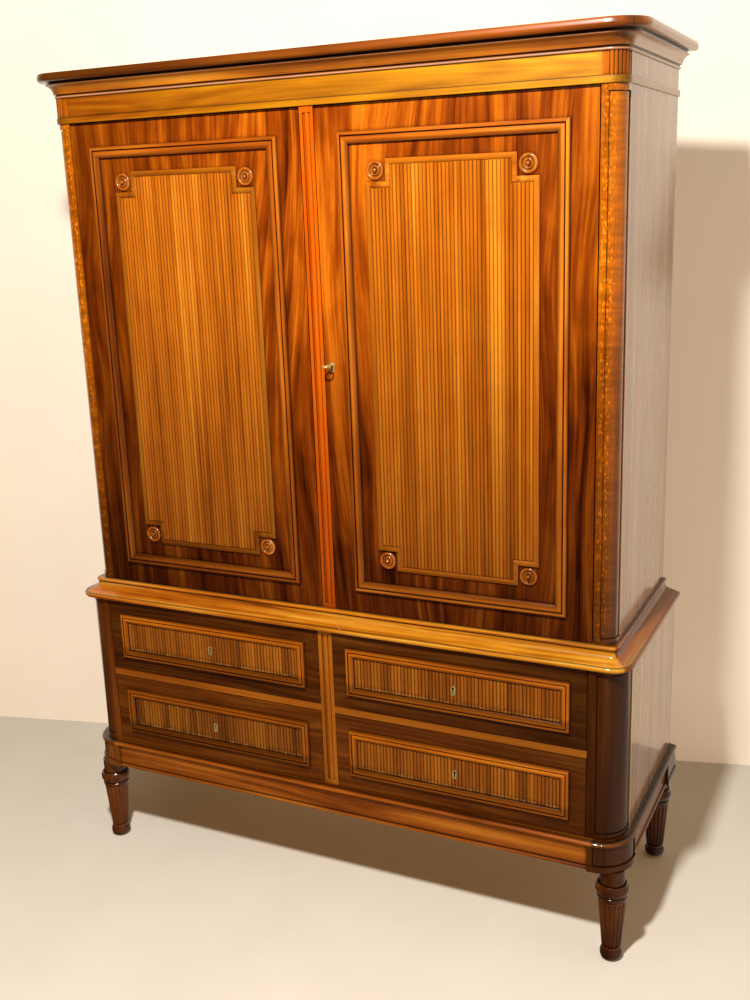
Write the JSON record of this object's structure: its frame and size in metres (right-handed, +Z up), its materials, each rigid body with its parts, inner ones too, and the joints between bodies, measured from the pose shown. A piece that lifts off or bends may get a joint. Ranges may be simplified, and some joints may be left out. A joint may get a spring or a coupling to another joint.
{
  "type": "linen press",
  "caption": "Tall cupboard with two reeded panel doors over a base of drawers, on turned fluted legs, with shelves, pivot hinges, bolts and locks that work.",
  "frame": {"origin": "on the floor, at the centre of the outline", "axes": "+X to the viewer's right, +Y from the front to the back, +Z up"},
  "size_m": [1.456, 0.53, 1.985],
  "materials": {
    "mahogany_veneer": "gloss",
    "golden_mahogany": "gloss",
    "reeded_mahogany": "gloss",
    "mahogany": "gloss",
    "dark_mahogany": "gloss",
    "carcass_wood": "matte",
    "brass": "satin",
    "steel": "satin"
  },
  "bodies": {
    "case": {"legs": "dark_mahogany", "plinth_blocks": "dark_mahogany", "plinth_rails": "dark_mahogany", "plinth_moulding": "dark_mahogany", "base_posts": "dark_mahogany", "base_sides": "mahogany_veneer", "upper_sides": "mahogany_veneer", "base_mullion": "mahogany", "door_mullion": "mahogany", "drawer_rails": "mahogany", "upper_posts": "mahogany", "frieze_blocks": "mahogany", "waist_moulding": "golden_mahogany", "frieze": "golden_mahogany", "cornice": "golden_mahogany", "base_boards": "carcass_wood", "base_back": "carcass_wood", "base_partition": "carcass_wood", "drawer_runners": "carcass_wood", "upper_boards": "carcass_wood", "upper_back": "carcass_wood", "cornice_top": "carcass_wood", "shelves": "carcass_wood", "shelf_cleats": "carcass_wood", "case_pivots": "brass"},
    "left_door": {"left_door": "mahogany_veneer", "left_door_moulding": "golden_mahogany", "left_door_panel": "reeded_mahogany", "left_door_paterae": "golden_mahogany", "left_door_fittings": "brass"},
    "right_door": {"right_door": "mahogany_veneer", "right_door_moulding": "golden_mahogany", "right_door_panel": "reeded_mahogany", "right_door_paterae": "golden_mahogany", "right_door_fittings": "brass", "door_lock": "brass"},
    "left_door_top_bolt": {"left_door_top_bolt": "brass"},
    "left_door_bottom_bolt": {"left_door_bottom_bolt": "brass"},
    "door_key": {"door_key": "brass"},
    "door_lock_bolt": {"door_lock_bolt": "steel"},
    "lower_left_drawer": {"lower_left_drawer_front": "mahogany_veneer", "lower_left_drawer_box": "carcass_wood", "lower_left_drawer_trim": "reeded_mahogany", "lower_left_drawer_lock": "brass"},
    "lower_left_drawer_bolt": {"lower_left_drawer_bolt": "steel"},
    "upper_left_drawer": {"upper_left_drawer_front": "mahogany_veneer", "upper_left_drawer_box": "carcass_wood", "upper_left_drawer_trim": "reeded_mahogany", "upper_left_drawer_lock": "brass"},
    "upper_left_drawer_bolt": {"upper_left_drawer_bolt": "steel"},
    "lower_right_drawer": {"lower_right_drawer_front": "mahogany_veneer", "lower_right_drawer_box": "carcass_wood", "lower_right_drawer_trim": "reeded_mahogany", "lower_right_drawer_lock": "brass"},
    "lower_right_drawer_bolt": {"lower_right_drawer_bolt": "steel"},
    "upper_right_drawer": {"upper_right_drawer_front": "mahogany_veneer", "upper_right_drawer_box": "carcass_wood", "upper_right_drawer_trim": "reeded_mahogany", "upper_right_drawer_lock": "brass"},
    "upper_right_drawer_bolt": {"upper_right_drawer_bolt": "steel"}
  },
  "joints": [
    {"name": "left_door_hinge", "type": "hinge", "parent": "case", "child": "left_door", "pos_m": [-0.6265, -0.212, 1.311], "axis": [0, 0, -1], "range_deg": [0, 105]},
    {"name": "right_door_hinge", "type": "hinge", "parent": "case", "child": "right_door", "pos_m": [0.6265, -0.212, 1.311], "axis": [0, 0, 1], "range_deg": [0, 105]},
    {"name": "lower_left_drawer_slide", "type": "slide", "parent": "case", "child": "lower_left_drawer", "axis": [0, -1, 0], "range_m": [0, 0.36]},
    {"name": "lower_left_drawer_bolt_slide", "type": "slide", "parent": "lower_left_drawer", "child": "lower_left_drawer_bolt", "axis": [0, 0, 1], "range_m": [0, 0.009]},
    {"name": "upper_left_drawer_slide", "type": "slide", "parent": "case", "child": "upper_left_drawer", "axis": [0, -1, 0], "range_m": [0, 0.36]},
    {"name": "upper_left_drawer_bolt_slide", "type": "slide", "parent": "upper_left_drawer", "child": "upper_left_drawer_bolt", "axis": [0, 0, 1], "range_m": [0, 0.009]},
    {"name": "lower_right_drawer_slide", "type": "slide", "parent": "case", "child": "lower_right_drawer", "axis": [0, -1, 0], "range_m": [0, 0.36]},
    {"name": "lower_right_drawer_bolt_slide", "type": "slide", "parent": "lower_right_drawer", "child": "lower_right_drawer_bolt", "axis": [0, 0, 1], "range_m": [0, 0.009]},
    {"name": "upper_right_drawer_slide", "type": "slide", "parent": "case", "child": "upper_right_drawer", "axis": [0, -1, 0], "range_m": [0, 0.36]},
    {"name": "upper_right_drawer_bolt_slide", "type": "slide", "parent": "upper_right_drawer", "child": "upper_right_drawer_bolt", "axis": [0, 0, 1], "range_m": [0, 0.009]},
    {"name": "door_key_turn", "type": "hinge", "parent": "right_door", "child": "door_key", "pos_m": [0.0365, -0.217, 1.326], "axis": [0, 1, 0], "range_deg": [0, 180]},
    {"name": "door_lock_bolt_slide", "type": "slide", "parent": "right_door", "child": "door_lock_bolt", "axis": [-1, 0, 0], "range_m": [0, 0.011]},
    {"name": "left_door_top_bolt_slide", "type": "slide", "parent": "left_door", "child": "left_door_top_bolt", "axis": [0, 0, 1], "range_m": [0, 0.011]},
    {"name": "left_door_bottom_bolt_slide", "type": "slide", "parent": "left_door", "child": "left_door_bottom_bolt", "axis": [0, 0, -1], "range_m": [0, 0.011]}
  ],
  "couplings": [
    {"joint": "door_key_turn", "follows": "door_lock_bolt_slide", "rad_per_m": 285.5}
  ]
}
